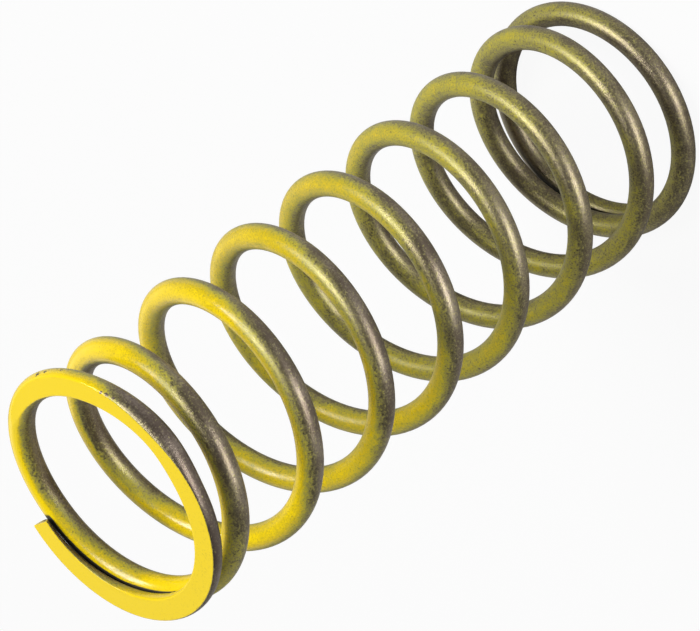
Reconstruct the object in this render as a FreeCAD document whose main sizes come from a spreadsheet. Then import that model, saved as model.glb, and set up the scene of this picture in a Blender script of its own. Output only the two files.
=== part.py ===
"""Valve spring: one left-hand coil of round wire, closed at both ends and ground flat there.

Lengths are in millimetres. Turns are counted along the wire from the tip at the end that a size
names. Heights run from that end's ground face to the wire's centre line, and a ground depth is
what the face has taken off the wire at that turn.
"""

import FreeCAD
import Part
import math
import os

LABEL = "valve_spring"

# One full turn on from its tip, the wire passes beside the tip
CONTACT_TURNS = 1.0

SIZES = {
    "free_length": 106.0,
    "mean_diameter": 33.0,
    "wire_diameter": 3.5,
    "total_turns": 9.21,
    "tip_gap": 0.1,
    "lower_tip_thickness": 1.9,
    "lower_tip_pitch": 1.7,
    "lower_seat_turns": 0.5,
    "lower_seat_depth": 0.8,
    "lower_seat_pitch": 3.5,
    "lower_contact_pitch": 5.0,
    "lower_open_turns": 1.75,
    "lower_open_height": 12.0,
    "upper_tip_thickness": 1.1,
    "upper_tip_pitch": 2.5,
    "upper_start_turns": 0.25,
    "upper_start_depth": 0.95,
    "upper_middle_turns": 0.47,
    "upper_middle_depth": 0.95,
    "upper_crest_turns": 0.56,
    "upper_crest_depth": 0.3,
    "upper_end_turns": 0.68,
    "upper_end_depth": 0.75,
    "upper_contact_pitch": 5.4,
    "upper_open_turns": 2.0,
    "upper_open_height": 14.5,
    "upper_pinch_turns": 0.33,
    "upper_pinch": 0.45,
    "upper_bulge_turns": 0.7,
    "upper_bulge": 0.5,
    "upper_tuck_turns": 1.05,
    "upper_tuck": 0.9,
    "upper_waist_turns": 1.5,
    "upper_waist": 0.4,
    "upper_round_turns": 2.5,
    "longest_arc_turns": 0.125,
    "grinding_clearance": 5.0,
}


def make_sheet(document):
    """Puts the driving sizes in a spreadsheet, one named cell for each."""
    sheet = document.addObject("Spreadsheet::Sheet", "sizes")
    for row, (name, value) in enumerate(SIZES.items(), start=1):
        sheet.set(f"A{row}", name)
        sheet.set(f"B{row}", str(value))
        sheet.setAlias(f"B{row}", name)
    document.recompute()
    return sheet


def lower_heights(sheet):
    """Turn, height and pitch of the wire at each change of pitch, from the lower tip."""
    wire_radius = sheet.wire_diameter / 2
    tip_height = sheet.lower_tip_thickness - wire_radius
    contact_height = tip_height + sheet.wire_diameter + sheet.tip_gap
    return [
        (0.0, tip_height, sheet.lower_tip_pitch),
        (sheet.lower_seat_turns, wire_radius - sheet.lower_seat_depth, sheet.lower_seat_pitch),
        (CONTACT_TURNS, contact_height, sheet.lower_contact_pitch),
        (sheet.lower_open_turns, sheet.lower_open_height, active_pitch(sheet)),
    ]


def upper_heights(sheet):
    """The same from the upper tip, whose coil rises to a crest that narrows the ground face."""
    wire_radius = sheet.wire_diameter / 2
    tip_height = sheet.upper_tip_thickness - wire_radius
    contact_height = tip_height + sheet.wire_diameter + sheet.tip_gap
    level = 0.0
    return [
        (0.0, tip_height, sheet.upper_tip_pitch),
        (sheet.upper_start_turns, wire_radius - sheet.upper_start_depth, level),
        (sheet.upper_middle_turns, wire_radius - sheet.upper_middle_depth, level),
        (sheet.upper_crest_turns, wire_radius - sheet.upper_crest_depth, level),
        (sheet.upper_end_turns, wire_radius - sheet.upper_end_depth, level),
        (CONTACT_TURNS, contact_height, sheet.upper_contact_pitch),
        (sheet.upper_open_turns, sheet.upper_open_height, active_pitch(sheet)),
    ]


def active_pitch(sheet):
    """Pitch of the free coils, which share what the two closed ends leave of the length."""
    turns = sheet.total_turns - sheet.lower_open_turns - sheet.upper_open_turns
    return (sheet.free_length - sheet.lower_open_height - sheet.upper_open_height) / turns


def height_stations(sheet):
    """Turn from the lower tip, height above the lower face and pitch, up the whole spring."""
    from_top = [
        (sheet.total_turns - turn, sheet.free_length - height, pitch)
        for turn, height, pitch in upper_heights(sheet)
    ]
    return lower_heights(sheet) + from_top[::-1]


def radius_stations(sheet):
    """Turn from the lower tip, radius of the centre line and its slope, which is always level."""
    mean_radius = sheet.mean_diameter / 2
    from_top = [
        (0.0, mean_radius),
        (sheet.upper_pinch_turns, mean_radius - sheet.upper_pinch),
        (sheet.upper_bulge_turns, mean_radius + sheet.upper_bulge),
        (sheet.upper_tuck_turns, mean_radius - sheet.upper_tuck),
        (sheet.upper_waist_turns, mean_radius - sheet.upper_waist),
        (sheet.upper_round_turns, mean_radius),
        (sheet.total_turns, mean_radius),
    ]
    return [(sheet.total_turns - turn, radius, 0.0) for turn, radius in from_top[::-1]]


def blend(stations, turn):
    """Value and slope at a turn, on the smooth curve through the stations."""
    for start, end in zip(stations, stations[1:]):
        if turn <= end[0]:
            break
    span = end[0] - start[0]
    rise = end[1] - start[1]
    part = (turn - start[0]) / span
    rest = 1 - part
    value = start[1] + rise * part**2 * (3 - 2 * part)
    value += span * part * rest * (start[2] * rest - end[2] * part)
    slope = 6 * rise * part * rest / span
    slope += start[2] * rest * (1 - 3 * part) + end[2] * part * (3 * part - 2)
    return value, slope


def place_on_coil(turn, heights, radii):
    """Point and direction of the centre line at a turn; the coil winds to the left as it rises."""
    height, pitch = blend(heights, turn)
    radius, growth = blend(radii, turn)
    angle = -2 * math.pi * turn
    outward = FreeCAD.Vector(math.cos(angle), math.sin(angle), 0)
    along = FreeCAD.Vector(math.sin(angle), -math.cos(angle), 0)
    point = outward * radius + FreeCAD.Vector(0, 0, height)
    direction = outward * growth + along * (2 * math.pi * radius) + FreeCAD.Vector(0, 0, pitch)
    return point, direction.normalize()


def arc(start, corner, end):
    """Arc from start to end whose tangents meet at the corner."""
    weight = (end - start).Length / (2 * (corner - start).Length)
    middle = (start + corner * (2 * weight) + end) * (0.5 / (1 + weight))
    return Part.Arc(start, middle, end).toShape()


def arc_pair(start, start_direction, end, end_direction):
    """Two tangent arcs that leave start and reach end in the given directions."""
    chord = end - start
    swing = 1 - start_direction.dot(end_direction)
    advance = chord.dot(start_direction + end_direction)
    reach = (math.sqrt(advance**2 + 2 * swing * chord.dot(chord)) - advance) / (2 * swing)
    joint = (start + end + (start_direction - end_direction) * reach) * 0.5
    return [
        arc(start, start + start_direction * reach, joint),
        arc(joint, end - end_direction * reach, end),
    ]


def joint_turns(stations, longest):
    """Turns where the arcs meet: every station, and evenly between stations that lie far apart."""
    turns = [stations[0][0]]
    for start, end in zip(stations, stations[1:]):
        span = end[0] - start[0]
        count = math.ceil(span / longest)
        turns += [start[0] + span * step / count for step in range(1, count + 1)]
    return turns


def make_centre_line(document, sheet):
    """The wire's centre line, from the lower tip to the upper tip."""
    heights = height_stations(sheet)
    radii = radius_stations(sheet)
    turns = joint_turns(heights, sheet.longest_arc_turns)
    places = [place_on_coil(turn, heights, radii) for turn in turns]
    edges = []
    for start, end in zip(places, places[1:]):
        edges += arc_pair(*start, *end)
    line = document.addObject("Part::Feature", "centre_line")
    line.Shape = Part.Wire(edges)
    return line, places[0]


def make_coil(document, line, tip):
    """Sweeps the round section of the wire along its centre line."""
    point, direction = tip
    section = document.addObject("Part::Circle", "wire_section")
    section.setExpression("Radius", "sizes.wire_diameter / 2")
    section.Placement = FreeCAD.Placement(
        point, FreeCAD.Rotation(FreeCAD.Vector(0, 0, 1), direction)
    )
    coil = document.addObject("Part::Sweep", "coil")
    coil.Sections = [section]
    coil.Spine = (line, [f"Edge{number}" for number in range(1, len(line.Shape.Edges) + 1)])
    coil.Solid = True
    coil.Frenet = True
    return coil


def make_spring(document, coil):
    """Grinds both ends flat: what is left lies between two faces a free length apart."""
    ground = document.addObject("Part::Cylinder", "ground_height")
    ground.setExpression("Height", "sizes.free_length")
    ground.setExpression(
        "Radius", "sizes.mean_diameter / 2 + sizes.wire_diameter + sizes.grinding_clearance"
    )
    spring = document.addObject("Part::Common", "spring")
    spring.Base = coil
    spring.Tool = ground
    spring.Label = LABEL
    return spring


def check(document):
    """Stops the build if any object of the document is broken."""
    for item in document.Objects:
        if {"Invalid", "Error"} & set(item.State):
            raise RuntimeError(f"{item.Name} is {item.State}")
        if hasattr(item, "Shape") and (item.Shape.isNull() or not item.Shape.isValid()):
            raise RuntimeError(f"{item.Name} has no valid shape")


def check_ground(sheet, spring):
    """Stops the build if an end is left unground or the coil is in more than one piece."""
    if len(spring.Shape.Solids) != 1:
        raise RuntimeError("the coil is not one piece")
    faces = [face for face in spring.Shape.Faces if isinstance(face.Surface, Part.Plane)]
    levels = {round(face.BoundBox.ZMin, 3) for face in faces if face.BoundBox.ZLength < 1e-6}
    if levels != {0.0, round(sheet.free_length, 3)}:
        raise RuntimeError(f"the ground faces lie at {sorted(levels)}")


def main():
    document = FreeCAD.newDocument("valve_spring")
    sheet = make_sheet(document)
    line, tip = make_centre_line(document, sheet)
    coil = make_coil(document, line, tip)
    spring = make_spring(document, coil)
    document.recompute()
    check(document)
    check_ground(sheet, spring)
    os.makedirs("parts", exist_ok=True)
    spring.Shape.exportStep(f"parts/{spring.Label}.step")


main()
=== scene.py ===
"""Looks of the valve spring: its wire with softened ground ends, and yellow enamel over dark steel.

Lengths are in millimetres, and the finished mesh, the floor, the lamps and the camera are brought to
metres by MM. Turns are counted along the wire from the tip at the end that a name or comment gives.
The coil stands on its lower end, and it was sprayed from its upper one.
"""

import math
import random

import bmesh
import bpy
from mathutils import Matrix, Vector
from mathutils.bvhtree import BVHTree

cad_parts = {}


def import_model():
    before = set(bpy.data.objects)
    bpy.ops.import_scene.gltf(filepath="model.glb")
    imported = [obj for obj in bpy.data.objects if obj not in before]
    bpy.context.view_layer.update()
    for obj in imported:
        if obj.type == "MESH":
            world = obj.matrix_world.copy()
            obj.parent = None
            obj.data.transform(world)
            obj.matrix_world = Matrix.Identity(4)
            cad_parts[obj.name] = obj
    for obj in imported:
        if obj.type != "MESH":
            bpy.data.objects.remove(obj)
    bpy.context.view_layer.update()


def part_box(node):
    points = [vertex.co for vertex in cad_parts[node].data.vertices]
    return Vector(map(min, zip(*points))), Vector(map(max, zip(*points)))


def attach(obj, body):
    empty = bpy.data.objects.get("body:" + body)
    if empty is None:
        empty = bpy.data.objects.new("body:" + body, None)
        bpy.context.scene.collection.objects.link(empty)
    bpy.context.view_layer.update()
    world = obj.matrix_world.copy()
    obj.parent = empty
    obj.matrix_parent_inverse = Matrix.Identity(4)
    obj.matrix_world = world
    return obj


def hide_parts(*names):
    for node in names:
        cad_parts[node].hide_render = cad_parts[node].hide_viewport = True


MM = 0.001

# The coil's sizes, as on its drawing
WIRE_RADIUS = 1.75
MEAN_RADIUS = 16.5
TURNS = 9.21
TIP_GAP = 0.03

# One full turn on from its tip, the wire passes beside the tip
CONTACT_TURNS = 1.0

# Each closed end, from its tip. Ground gives a turn, how deep the face is ground into the wire
# there, and the pitch. Open gives the turn and height at which the free coils start.
LOWER_END = {
    "tip_thickness": 1.9,
    "tip_pitch": 1.7,
    "ground": [(0.5, 0.8, 3.5)],
    "contact_pitch": 5.0,
    "open": (1.75, 12.0),
}
UPPER_END = {
    "tip_thickness": 1.1,
    "tip_pitch": 2.5,
    "ground": [(0.25, 0.95, 0.0), (0.47, 0.95, 0.0), (0.56, 0.3, 0.0), (0.68, 0.75, 0.0)],
    "contact_pitch": 4.8,
    "open": (2.0, 14.5),
}

# How the upper turns lie off the round: turn from the upper tip, and what the radius gains there
OFF_ROUND = [(0.0, 0.0), (0.33, -0.45), (0.7, 0.5), (1.05, -0.9), (1.5, -0.4), (2.5, 0.0)]

# How finely the wire is made: the rings that are spun, the cuts between two of them, the sides
# round the wire, and those of them from the middle of a ground face to its edge
SPUN_RINGS = 221
CUTS = 3
SIDES = 56
FACE_SIDES = 12

# Half of a ground face is at least this angle of the wire, in radians
LEAST_HALF_FACE = 0.03

# Once a face has run out, its sides spread out evenly round the wire over these turns
RUN_OUT_TURNS = 0.15

# Steps in turns, to find where a face ends and how steeply the wire climbs
FACE_STEP = 0.01
SLOPE_STEP = 0.005

# The soft edge of a ground face, which takes no more than a share of half a narrow face
EDGE = 0.1
EDGE_SHARE = 0.3

# The soft edge round a cut tip: how far its end is set in, and how far it stands out
NOSE_INSET = 0.08
NOSE_RISE = 0.056

# Points whose turns differ by less than this are on one ring
SAME_TURN = 0.001

# The bake's layout, in shares of one turn's strip: the margins along and across it, where the
# middle of each tip's end lies along the last one, and how much a millimetre of that end takes
STRIP_MARGINS = (0.01, 0.04)
LOWER_TIP_MIDDLE = 0.4
UPPER_TIP_MIDDLE = 0.6
TIP_END_SCALE = (0.02, 0.2)

# Height of a tip's end at most
TIP_END_HEIGHT = 2.0

# The spray: where the can was held round the upper end, in degrees, and how much it gave there
SPRAYS = {
    "over the end": {"azimuth": 225, "elevation": 72, "distance": 60, "strength": 2.5},
    "from beside": {"azimuth": 212, "elevation": 24, "distance": 85, "strength": 1.2},
    "from across": {"azimuth": 12, "elevation": 45, "distance": 60, "strength": 0.75},
}
SPRAY_SWING = 20.0
PUFFS_A_SPRAY = 9
PUFF_SEED = 11

# What settles on every side, whichever way it faces
DRIFT = 0.18

# The spray's rays start this far off the wire, so that they don't meet their own point
RAY_START = 0.03

# Stretches that were rubbed thin: turns from the upper tip, which side, and what is left there
RUBBED = [
    (-0.1, 0.16, "inside", 0.4),
    (0.22, 0.645, "outside", 0.15),
    (0.72, 1.0, "inside", 0.28),
    (0.96, 1.18, "inside", 0.5),
    (1.36, 1.62, "outside", 0.75),
    (1.66, 1.98, "inside", 0.25),
    (1.94, 2.1, "inside", 0.55),
    (2.34, 2.62, "outside", 0.6),
    (3.34, 3.64, "outside", 0.6),
    (4.34, 4.64, "outside", 0.7),
]

# Turns over which such a stretch fades in and out
RUB_FADE = 0.04

# How squarely a side faces inward or outward where the rubbing starts, and where it is full
RUB_FACING = {"inside": (0.25, 0.65), "outside": (0.05, 0.35)}

# Chips: turn from the upper tip, outward from the wire's middle, depth under the end, and width
CHIPS = [
    (0.738, 1.62, 0.55, 0.8),
    (0.725, 1.66, 0.75, 0.6),
    (0.7, 1.72, 1.1, 0.4),
    (0.634, 1.34, 0.1, 0.5),
    (0.627, 1.4, 0.2, 0.6),
    (0.618, 1.45, 0.3, 0.55),
    (0.83, 1.5, 0.1, 0.35),
    (1.75, 0.9, 4.6, 1.3),
    (1.79, 0.2, 4.4, 0.9),
]

# A chip is bare up to the first share of its width from its middle, and whole from the second
CHIP_EDGE = (0.3, 0.5)

# Painted shade darkens the wire where turns touch, and thins out until the next turn is this far away
CREVICE_SHADE_REACH = 2.0

# Colours of the wire, of what lies on it, of painted shade, and of the enamel from its thinnest to
# its thickest
STEEL = (0.14, 0.108, 0.086, 1.0)
STEEL_PALE = (0.27, 0.222, 0.185, 1.0)
HAZE = (0.255, 0.218, 0.115, 1.0)
# A near-black colour painted in as shade in the crevices where turns touch
CREVICE_SHADE = (0.03, 0.026, 0.016, 1.0)
GAP = (0.04, 0.036, 0.014, 1.0)
MIST = (0.335, 0.308, 0.08, 1.0)
OLIVE = (0.37, 0.325, 0.028, 1.0)
ENAMEL_THIN = (0.58, 0.425, 0.004, 1.0)
ENAMEL = (0.77, 0.565, 0.001, 1.0)
ENAMEL_STOPS = [(0.0, MIST), (0.3, MIST), (0.58, OLIVE), (0.82, ENAMEL_THIN), (0.93, ENAMEL)]

# What breaks up the finish: the size, detail and roughness of each pattern
DROPLETS = (0.27, 2.0, 0.8)
CLOUDS = (1.3, 3.0, 0.55)
WEAR = (5.0, 2.0, 0.5)

# Where each part of the finish starts to show, and where it shows fully
PALE_FROM_WEAR = (0.35, 0.75)
HAZE_FROM_FILM = (0.02, 0.4)
PAINT_FROM_FILM = (0.25, 0.8)
SOLID_FROM_FILM = (0.6, 0.9)
GAPS_FROM_GRAIN = (0.1, 0.5)
SHADE_FROM_CREVICE = (0.15, 0.6)

# How much the clouds change the film, and the droplets' grain each other part of the finish
CLOUDS_IN_FILM = 0.3
GRAIN_IN_CHIPS = 0.6
GRAIN_IN_STEEL = 0.4
GRAIN_IN_COLOUR = 0.42
GRAIN_IN_PAINT = 1.2
GRAIN_IN_SHADE = 0.35

# Paint is ahead of the film by this factor, and it has no grain where the film is this thick
PAINT_AHEAD = 1.3
GRAINLESS_FILM = 1.1

# The most of the gaps' colour that shows between droplets
GAPS_SHARE = 0.7

# Gloss of the steel, how much smoother enamel is, and how much rougher the painted crevice shade is
STEEL_METALLIC = 0.95
STEEL_ROUGHNESS = 0.4
ENAMEL_SMOOTHS = 0.2
SHADE_ROUGHENS = 0.5

# How high the droplets stand, and how strongly that shades them
DROPLET_HEIGHT = 0.04
DROPLET_SHADING = 0.6

# The camera, fitted to the coil's outline in the photograph
CAMERA_PLACE = Vector((-157.37, 329.82, 331.28))
CAMERA_AIM = Vector((0.86, -0.55, 57.19))
CAMERA_ROLL = -128.38
CAMERA_LENS = 174.84
CAMERA_NEAREST = 10.0
SENSOR_WIDTH = 36.0

# The floor lies this far under the lower ground face, so that the two don't flicker
FLOOR_CLEARANCE = 0.05
FLOOR_HALF_SIDE = 2000.0
PAPER = (0.55, 0.55, 0.55, 1.0)
WHITE = (1.0, 1.0, 1.0, 1.0)

# How much of the floor's white the camera sees instead of its lit paper, and the wire mirrors
WHITE_SEEN = 0.93
WHITE_MIRRORED = 0.05

# Two square lamps, aimed at the spring's middle, with their power in watts
LAMPS = {
    "lamp_right": {"place": (13.0, 620.0, 75.0), "side": 210.0, "power": 2.9},
    "lamp_left": {"place": (-335.0, -90.0, 620.0), "side": 340.0, "power": 5.4},
}
LAMP_AIM = Vector((0.0, 0.0, 53.0))

# Brightness of the room on the camera's side and behind the spring. It rises as a direction turns
# from square to the view, at 0, to as far along the view as this.
ROOM_FRONT = 0.13
ROOM_BACK = 1.0
ROOM_BACK_FROM = 0.8


def end_heights(end, free_pitch):
    """Turn, height over the ground face and pitch of the wire's middle, from an end's tip."""
    tip = end["tip_thickness"] - WIRE_RADIUS
    beside_tip = 2 * WIRE_RADIUS + TIP_GAP
    ground = [(turn, WIRE_RADIUS - depth, pitch) for turn, depth, pitch in end["ground"]]
    return [
        (0.0, tip, end["tip_pitch"]),
        *ground,
        (CONTACT_TURNS, tip + beside_tip, end["contact_pitch"]),
        (*end["open"], free_pitch),
    ]


def coil_heights(length):
    """Turn from the lower tip, height and pitch at each change of pitch, up the whole coil."""
    lower_turns, lower_height = LOWER_END["open"]
    upper_turns, upper_height = UPPER_END["open"]
    pitch = (length - lower_height - upper_height) / (TURNS - lower_turns - upper_turns)
    from_top = [
        (TURNS - turn, length - height, rise)
        for turn, height, rise in end_heights(UPPER_END, pitch)
    ]
    return end_heights(LOWER_END, pitch) + from_top[::-1]


def coil_radii():
    """Turn from the lower tip, radius and slope of the wire's middle, whose slope is always 0."""
    from_top = OFF_ROUND + [(TURNS, 0.0)]
    return [(TURNS - turn, MEAN_RADIUS + gain, 0.0) for turn, gain in from_top[::-1]]


def along(stations, turn):
    """Value at a turn, on the smooth curve through the stations."""
    for start, end in zip(stations, stations[1:]):
        if turn <= end[0]:
            break
    span = end[0] - start[0]
    part = (turn - start[0]) / span
    rest = 1 - part
    value = start[1] + (end[1] - start[1]) * part**2 * (3 - 2 * part)
    return value + span * part * rest * (start[2] * rest - end[2] * part)


def eased(share):
    """0 up to 1 with a gentle start and stop."""
    share = min(max(share, 0.0), 1.0)
    return share * share * (3 - 2 * share)


def on_wire(angle):
    """Point of the wire's round section, at an angle from its top."""
    return Vector((math.sin(angle), math.cos(angle))) * WIRE_RADIUS


def ground_section(face_height, gathered):
    """Points of the wire's section, sideways and up from its middle, from the top all round.

    The ground face lies at face_height over the middle. The sides on the face are evenly apart,
    and the next one each way rounds its edge. Gathered is 1 where the face is, and falls to 0
    where the sides have spread out evenly round the wire again.
    """
    share = min(max(face_height / WIRE_RADIUS, -1.0), 1.0)
    half = max(math.acos(share), LEAST_HALF_FACE)
    corner = on_wire(half)
    edge = min(EDGE, EDGE_SHARE * corner.x)
    inner = corner - Vector((edge, 0))
    first_round = half + edge / WIRE_RADIUS
    points = []
    for side in range(SIDES):
        count = min(side, SIDES - side)
        if count < FACE_SIDES:
            spot = Vector((inner.x * count / (FACE_SIDES - 1), corner.y))
        elif count == FACE_SIDES:
            across_edge = (inner + on_wire(first_round)) / 2
            spot = (corner + across_edge) / 2
        else:
            part = (count - FACE_SIDES - 1) / (SIDES / 2 - FACE_SIDES - 1)
            spot = on_wire(first_round + (math.pi - first_round) * part)
        if gathered < 1:
            even = 2 * math.pi * count / SIDES
            spot = on_wire(math.atan2(spot.x, spot.y) * gathered + even * (1 - gathered))
        points.append(Vector((spot.x if side > SIDES / 2 else -spot.x, spot.y)))
    return points


def turned_over(points):
    """The same section with its ground face below."""
    mirrored = [Vector((point.x, -point.y)) for point in points]
    return [mirrored[(SIDES // 2 - side) % SIDES] for side in range(SIDES)]


def face_end(heights, level, tip, way):
    """Turn at which the ground face at a level has run out, going one way from a tip."""
    turn = tip
    while abs(level - along(heights, turn)) < WIRE_RADIUS:
        turn += way * FACE_STEP
    return turn


def spin_coil(bm, length):
    """A ring of the wire, spun up the axis into an even coil whose points know their turn."""
    upright = Matrix.Translation((MEAN_RADIUS, 0, 0)) @ Matrix.Rotation(math.pi / 2, 4, "X")
    bmesh.ops.create_circle(bm, segments=SIDES, radius=WIRE_RADIUS, matrix=upright)
    bmesh.ops.spin(
        bm,
        geom=bm.verts[:] + bm.edges[:],
        cent=(0, 0, 0),
        axis=(0, 0, -1),
        dvec=(0, 0, length / SPUN_RINGS),
        angle=2 * math.pi * TURNS,
        steps=SPUN_RINGS,
        use_merge=False,
        use_duplicate=False,
    )
    turn_of = bm.verts.layers.float.new("turn")
    side_of = bm.verts.layers.float.new("side")
    for number, vert in enumerate(bm.verts):
        vert[turn_of] = TURNS * (number // SIDES) / SPUN_RINGS
        vert[side_of] = number % SIDES
    lengthways = [edge for edge in bm.edges if edge.verts[0][side_of] == edge.verts[1][side_of]]
    bmesh.ops.subdivide_edges(bm, edges=lengthways, cuts=CUTS)
    return turn_of, side_of


def section_at(turn, heights, radii, face_ends, length):
    """Places of one ring's points: on the coil's own height, slope and radius, and ground flat."""
    height = along(heights, turn)
    before = max(turn - SLOPE_STEP, 0.0)
    after = min(turn + SLOPE_STEP, TURNS)
    climb = along(heights, after) - along(heights, before)
    slope = math.atan2(climb, 2 * SLOPE_STEP * 2 * math.pi * MEAN_RADIUS)
    angle = -2 * math.pi * turn
    outward = Vector((math.cos(angle), math.sin(angle), 0))
    onward = Vector((math.sin(angle), -math.cos(angle), 0))
    upward = Vector((0, 0, math.cos(slope))) - onward * math.sin(slope)
    if turn > TURNS / 2:
        gathered = eased(1 - (face_ends[1] - turn) / RUN_OUT_TURNS)
        points = ground_section((length - height) / math.cos(slope), gathered)
    else:
        gathered = eased(1 - (turn - face_ends[0]) / RUN_OUT_TURNS)
        points = turned_over(ground_section(height / math.cos(slope), gathered))
    centre = outward * along(radii, turn) + Vector((0, 0, height))
    places = [centre + outward * point.x + upward * point.y for point in points]
    for place in places:
        place.z = min(max(place.z, 0.0), length)
    return places


def lay_rings(bm, turn_of, side_of, length):
    """Moves every ring of the even coil to where the real spring's wire is."""
    heights = coil_heights(length)
    radii = coil_radii()
    face_ends = (face_end(heights, 0.0, 0.0, 1), face_end(heights, length, TURNS, -1))
    sections = {}
    for vert in bm.verts:
        turn = vert[turn_of]
        if turn not in sections:
            sections[turn] = section_at(turn, heights, radii, face_ends, length)
        vert.co = sections[turn][round(vert[side_of])]


def close_tips(bm, turn_of):
    """Closes both cut ends of the wire, with a soft edge."""
    for turn in (0.0, TURNS):
        open_edges = [edge for edge in bm.edges if edge.is_boundary]
        rim = [edge for edge in open_edges if abs(edge.verts[0][turn_of] - turn) < SAME_TURN]
        cap = bmesh.ops.contextual_create(bm, geom=rim)["faces"][0]
        bmesh.ops.recalc_face_normals(bm, faces=bm.faces[:])
        out = cap.normal.copy()
        bmesh.ops.inset_individual(bm, faces=[cap], thickness=NOSE_INSET, use_even_offset=True)
        bmesh.ops.translate(bm, verts=cap.verts, vec=out * NOSE_RISE)
        for edge in rim + cap.edges[:]:
            edge.smooth = False


def side_spot(turn, side, strip, strips):
    """Place in the bake of a point on the wire's side."""
    along_margin, across_margin = STRIP_MARGINS
    onward = along_margin + (1 - 2 * along_margin) * (turn - strip)
    across = across_margin + (1 - 2 * across_margin) * side / SIDES
    return onward, (strip + across) / strips


def tip_spot(place, on_top, length, strips):
    """Place in the bake of a point on a tip's end, in what the wire leaves of the last strip."""
    middle = UPPER_TIP_MIDDLE if on_top else LOWER_TIP_MIDDLE
    foot = length - TIP_END_HEIGHT if on_top else 0.0
    outward = place.to_2d().length - MEAN_RADIUS
    onward = middle + outward * TIP_END_SCALE[0]
    return onward, (strips - 0.5 + (place.z - foot) * TIP_END_SCALE[1]) / strips


def map_wire(bm, turn_of, side_of, length):
    """Lays the wire out for the bake: each turn is a strip, and the tips' ends are in the last."""
    strips = math.ceil(TURNS)
    laid = bm.loops.layers.uv.new("OFBake")
    for face in bm.faces:
        turns = [vert[turn_of] for vert in face.verts]
        sides = [vert[side_of] for vert in face.verts]
        strip = math.floor((min(turns) + max(turns)) / 2)
        on_tip = len(face.verts) > 4 or max(turns) == min(turns)
        over_seam = max(sides) - min(sides) > SIDES / 2
        for loop in face.loops:
            turn = loop.vert[turn_of]
            side = loop.vert[side_of]
            if over_seam and side < SIDES / 2:
                side += SIDES
            if on_tip:
                loop[laid].uv = tip_spot(loop.vert.co, turn > TURNS / 2, length, strips)
            else:
                loop[laid].uv = side_spot(turn, side, strip, strips)


def mesh_of(bm, name):
    """The finished mesh of a bmesh."""
    mesh = bpy.data.meshes.new(name)
    bm.to_mesh(mesh)
    bm.free()
    return mesh


def make_wire(length):
    """The spring's wire, smooth apart from the rims of its tips."""
    bm = bmesh.new()
    turn_of, side_of = spin_coil(bm, length)
    lay_rings(bm, turn_of, side_of, length)
    close_tips(bm, turn_of)
    bmesh.ops.recalc_face_normals(bm, faces=bm.faces[:])
    map_wire(bm, turn_of, side_of, length)
    for face in bm.faces:
        face.smooth = True
    return mesh_of(bm, "spring_wire")


def puffs(length):
    """Places that the can sprayed from, and the strength of each puff."""
    dice = random.Random(PUFF_SEED)
    placed = []
    for held in SPRAYS.values():
        azimuth = math.radians(held["azimuth"])
        elevation = math.radians(held["elevation"])
        level = math.cos(elevation)
        way = Vector((level * math.cos(azimuth), level * math.sin(azimuth), math.sin(elevation)))
        for _ in range(PUFFS_A_SPRAY):
            swing = Vector([dice.uniform(-SPRAY_SWING, SPRAY_SWING) for _ in range(3)])
            place = Vector((0, 0, length)) + way * held["distance"] + swing
            strength = held["strength"] * held["distance"] ** 2 / PUFFS_A_SPRAY
            placed.append((place, strength))
    return placed


def coat_on(start, facing_way, placed, tree):
    """Enamel that a point gets, from the puffs that it faces and that no turn shades."""
    coat = DRIFT
    for place, strength in placed:
        way = place - start
        distance = way.length
        facing = facing_way.dot(way) / distance
        if facing > 0 and tree.ray_cast(start, way, distance)[0] is None:
            coat += strength * facing / distance**2
    return coat


def left_on(turn, facing_out):
    """Share of the enamel that rubbing has left at a turn from the upper tip."""
    left = 1.0
    for start, end, side, kept in RUBBED:
        inside = eased((turn - start) / RUB_FADE) * eased((end - turn) / RUB_FADE)
        facing = facing_out if side == "outside" else -facing_out
        first, full = RUB_FACING[side]
        left -= (1 - kept) * inside * eased((facing - first) / (full - first))
    return left


def crevice_at(start, facing_way, tree):
    """1 where the next turn touches, down to 0 where it is out of the painted shade's reach."""
    distance = tree.ray_cast(start, facing_way, CREVICE_SHADE_REACH)[3]
    return 0.0 if distance is None else eased(1 - distance / CREVICE_SHADE_REACH)


def spray(mesh, length):
    """Keeps in the mesh how much of each point the enamel covers, and how deep in a crevice it is,
    for the painted shade there.
    """
    tree = BVHTree.FromPolygons(
        [vert.co for vert in mesh.vertices], [face.vertices for face in mesh.polygons]
    )
    placed = puffs(length)
    for name in ("cover", "crevice"):
        mesh.attributes.new(name, "FLOAT", "POINT")
    turns, cover, crevice = (mesh.attributes[name].data for name in ("turn", "cover", "crevice"))
    for number, (vert, normal) in enumerate(zip(mesh.vertices, mesh.vertex_normals)):
        facing_way = normal.vector
        start = vert.co + facing_way * RAY_START
        facing_out = vert.co.to_2d().normalized().dot(facing_way.to_2d())
        left = left_on(TURNS - turns[number].value, facing_out)
        cover[number].value = 1 - math.exp(-coat_on(start, facing_way, placed, tree) * left)
        crevice[number].value = crevice_at(start, facing_way, tree)


class Value:
    """What a node gives, in a sum that adds the Math nodes it needs."""

    def __init__(self, finish, socket):
        self.finish = finish
        self.socket = socket

    def __add__(self, other):
        return self.finish.math("ADD", self, other)

    def __radd__(self, other):
        return self.finish.math("ADD", other, self)

    def __sub__(self, other):
        return self.finish.math("SUBTRACT", self, other)

    def __rsub__(self, other):
        return self.finish.math("SUBTRACT", other, self)

    def __mul__(self, other):
        return self.finish.math("MULTIPLY", self, other)

    def __rmul__(self, other):
        return self.finish.math("MULTIPLY", other, self)

    def __truediv__(self, other):
        return self.finish.math("DIVIDE", self, other)

    def __rtruediv__(self, other):
        return self.finish.math("DIVIDE", other, self)


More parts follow.
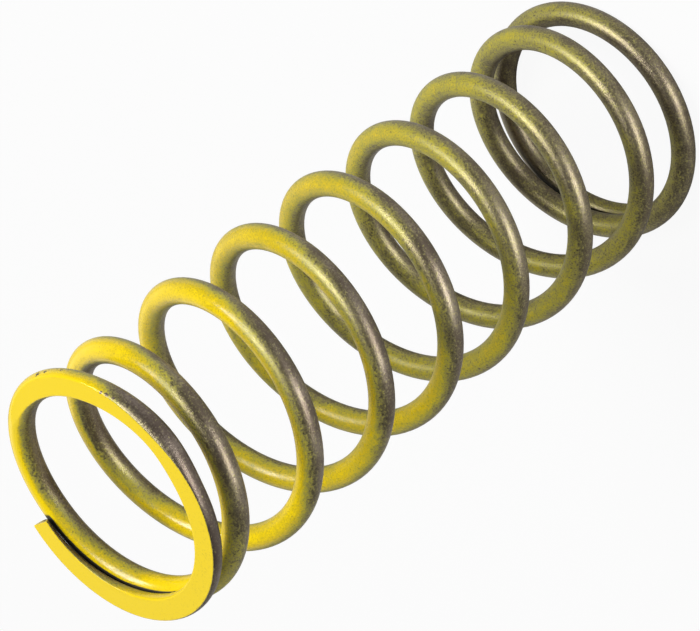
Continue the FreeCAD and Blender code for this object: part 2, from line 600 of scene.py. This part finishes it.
class Finish:
    """The nodes of a material, or of the room, added one by one."""

    def __init__(self, owner):
        owner.use_nodes = True
        self.nodes = owner.node_tree.nodes
        self.links = owner.node_tree.links
        self.nodes.clear()

    def node(self, kind, settings=None, inputs=None, output=0):
        """Adds a node with its settings and inputs, and gives one of its outputs."""
        made = self.nodes.new("ShaderNode" + kind)
        for name, value in (settings or {}).items():
            if name == "stops":
                self.set_stops(made.color_ramp, value)
            else:
                setattr(made, name, value)
        for name, value in (inputs or {}).items():
            socket = made.inputs[name]
            if isinstance(value, Value):
                self.links.new(value.socket, socket)
            else:
                socket.default_value = value
        return Value(self, made.outputs[output])

    def set_stops(self, ramp, stops):
        """Sets a ramp's colours at their places, which rise."""
        while len(ramp.elements) < len(stops):
            ramp.elements.new(1.0)
        for element, (place, colour) in zip(ramp.elements, stops):
            element.position = place
            element.color = colour

    def show(self, surface, kind="OutputMaterial"):
        """Puts a shader on the surface, or a background round the room."""
        shown = self.nodes.new("ShaderNode" + kind)
        self.links.new(surface.socket, shown.inputs["Surface"])

    def math(self, operation, *values):
        """One Math node on its values."""
        return self.node("Math", {"operation": operation}, dict(enumerate(values)))

    def between(self, value, low, high):
        """0 under low, 1 over high, and eased between them."""
        settings = {"interpolation_type": "SMOOTHSTEP"}
        return self.node("MapRange", settings, {"Value": value, "From Min": low, "From Max": high})

    def mix(self, share, first, second):
        """A colour between two colours, which a Mix node takes on its sockets 6 and 7."""
        inputs = {0: share, 6: first, 7: second}
        return self.node("Mix", {"data_type": "RGBA"}, inputs, output=2)

    def noise(self, place, size, detail, roughness):
        """Cloudy values round 0.5 with features of a size in millimetres."""
        inputs = {
            "Vector": place,
            "Scale": 1 / (size * MM),
            "Detail": detail,
            "Roughness": roughness,
        }
        return self.node("TexNoise", {}, inputs)

    def attribute(self, name):
        """A value that the mesh keeps at its points."""
        return self.node("Attribute", {"attribute_name": name}, output="Fac")


def chips(length):
    """Place in metres, and width in millimetres, of each chip in the enamel."""
    radii = coil_radii()
    spots = []
    for turn, outward, depth, width in CHIPS:
        angle = -2 * math.pi * (TURNS - turn)
        radius = along(radii, TURNS - turn) + outward
        spot = Vector((math.cos(angle) * radius, math.sin(angle) * radius, length - depth))
        spots.append((spot * MM, width))
    return spots


def whole_round(finish, place, spot, width, grain):
    """0 in a chip and 1 round it, with a ragged edge."""
    metres = finish.node(
        "VectorMath", {"operation": "DISTANCE"}, {0: place, 1: spot}, output="Value"
    )
    bare, whole = CHIP_EDGE
    ragged = metres / MM + grain * width * GRAIN_IN_CHIPS
    return finish.between(ragged, width * bare, width * whole)


def enamelled_steel(length):
    """Yellow enamel that thins out to a mist of droplets over dark oil-hardened wire.

    Cover is how much of the wire the spray reached. Film is the same with the clouds in it, and
    patchy is 1 where half of the wire is covered and 0 where it is bare or all covered.
    """
    material = bpy.data.materials.new("coil_finish")
    finish = Finish(material)
    place = finish.node("TexCoord", output="Object")
    grain = (finish.noise(place, *DROPLETS) - 0.5) * 2.0
    cloud = finish.noise(place, *CLOUDS)
    worn = finish.noise(place, *WEAR)

    cover = finish.attribute("cover")
    for spot, width in chips(length):
        cover = cover * whole_round(finish, place, spot, width, grain)
    patchy = cover * (1 - cover) * 4
    film = cover + (cloud + worn - 1) * CLOUDS_IN_FILM * patchy

    pale = finish.between(worn + grain * GRAIN_IN_STEEL, *PALE_FROM_WEAR)
    steel = finish.mix(pale, STEEL, STEEL_PALE)
    hazed = finish.mix(finish.between(film, *HAZE_FROM_FILM), steel, HAZE)

    depth = film + grain * GRAIN_IN_COLOUR * patchy
    paint = finish.node("ValToRGB", {"stops": ENAMEL_STOPS}, {"Fac": depth})
    droplets = film * PAINT_AHEAD + grain * GRAIN_IN_PAINT * (GRAINLESS_FILM - film)
    painted = finish.between(droplets, *PAINT_FROM_FILM)
    solid = finish.between(film, *SOLID_FROM_FILM)

    gaps = finish.between(0 - grain, *GAPS_FROM_GRAIN) * patchy * GAPS_SHARE
    coated = finish.mix(gaps, finish.mix(painted, hazed, paint), GAP)

    # Painted shade: where the next turn is close, the wire is painted dark, made rough and not
    # metallic
    crevice = finish.attribute("crevice")
    shade_depth = crevice + grain * GRAIN_IN_SHADE * crevice
    painted_shade = finish.between(shade_depth, *SHADE_FROM_CREVICE)

    height = grain * (1 - solid)
    inputs = {"Strength": DROPLET_SHADING, "Distance": DROPLET_HEIGHT * MM, "Height": height}
    surface = finish.node(
        "BsdfPrincipled",
        {},
        {
            "Base Color": finish.mix(painted_shade, coated, CREVICE_SHADE),
            "Metallic": STEEL_METALLIC * (1 - painted) * (1 - painted_shade),
            "Roughness": STEEL_ROUGHNESS - ENAMEL_SMOOTHS * solid + SHADE_ROUGHENS * painted_shade,
            "Normal": finish.node("Bump", {}, inputs),
        },
    )
    finish.show(surface)
    return material


def white_floor():
    """Paper that keeps the shadow, seen mostly as plain white."""
    material = bpy.data.materials.new("floor_white")
    finish = Finish(material)
    paper = finish.node("BsdfDiffuse", {}, {"Color": PAPER})
    glow = finish.node("Emission", {}, {"Color": WHITE, "Strength": 1.0})
    seen = finish.node("LightPath", output="Is Camera Ray")
    mirrored = finish.node("LightPath", output="Is Glossy Ray")
    share = WHITE_SEEN * seen + WHITE_MIRRORED * mirrored
    finish.show(finish.node("MixShader", {}, {0: share, 1: paper, 2: glow}))
    return material


def add_to_scene(name, data):
    """A new object in the scene."""
    made = bpy.data.objects.new(name, data)
    bpy.context.collection.objects.link(made)
    return made


def make_floor():
    """A plain floor under the spring."""
    bm = bmesh.new()
    bmesh.ops.create_grid(bm, x_segments=1, y_segments=1, size=FLOOR_HALF_SIDE * MM)
    bmesh.ops.translate(bm, verts=bm.verts, vec=(0, 0, -FLOOR_CLEARANCE * MM))
    mesh = mesh_of(bm, "floor")
    mesh.materials.append(white_floor())
    add_to_scene("floor", mesh)


def aimed(place, aim):
    """Where a lamp or camera stands, in metres, when it looks from a place to its aim."""
    look = (aim - place).to_track_quat("-Z", "Y").to_matrix().to_4x4()
    return Matrix.Translation(place * MM) @ look


def set_lamps():
    """Two large soft lamps, to the camera's left and right."""
    for name, stand in LAMPS.items():
        lamp = bpy.data.lights.new(name, "AREA")
        lamp.shape = "SQUARE"
        lamp.size = stand["side"] * MM
        lamp.energy = stand["power"]
        holder = add_to_scene(name, lamp)
        holder.matrix_world = aimed(Vector(stand["place"]), LAMP_AIM)


def set_room():
    """A room that is dim in front of the spring and white behind it, and white to the camera."""
    world = bpy.data.worlds.new("pale_room")
    room = Finish(world)
    way = room.node("TexCoord", output="Generated")
    view = (CAMERA_AIM - CAMERA_PLACE).normalized()
    behind = room.node("VectorMath", {"operation": "DOT_PRODUCT"}, {0: way, 1: view}, output="Value")
    light = room.node(
        "MapRange",
        {},
        {"Value": behind, "From Max": ROOM_BACK_FROM, "To Min": ROOM_FRONT, "To Max": ROOM_BACK},
    )
    seen = room.node("LightPath", output="Is Camera Ray")
    strength = light + seen * (1 - light)
    room.show(room.node("Background", {}, {"Color": WHITE, "Strength": strength}), "OutputWorld")
    bpy.context.scene.world = world


def set_camera():
    """Sets the camera at the photograph's viewpoint, turned as it was."""
    data = bpy.data.cameras.new("camera")
    data.lens = CAMERA_LENS
    data.sensor_width = SENSOR_WIDTH
    data.clip_start = CAMERA_NEAREST * MM
    camera = add_to_scene("camera", data)
    roll = Matrix.Rotation(math.radians(CAMERA_ROLL), 4, "Z")
    camera.matrix_world = aimed(CAMERA_PLACE, CAMERA_AIM) @ roll
    bpy.context.scene.camera = camera


def main():
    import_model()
    length = round(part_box("valve_spring")[1].z / MM, 3)
    mesh = make_wire(length)
    spray(mesh, length)
    mesh.transform(Matrix.Scale(MM, 4))
    mesh.materials.append(enamelled_steel(length))
    piece = add_to_scene("spring_wire", mesh)
    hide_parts("valve_spring")
    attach(piece, "root")
    make_floor()
    set_lamps()
    set_room()
    set_camera()
    bpy.context.scene.view_settings.view_transform = "Standard"


main()
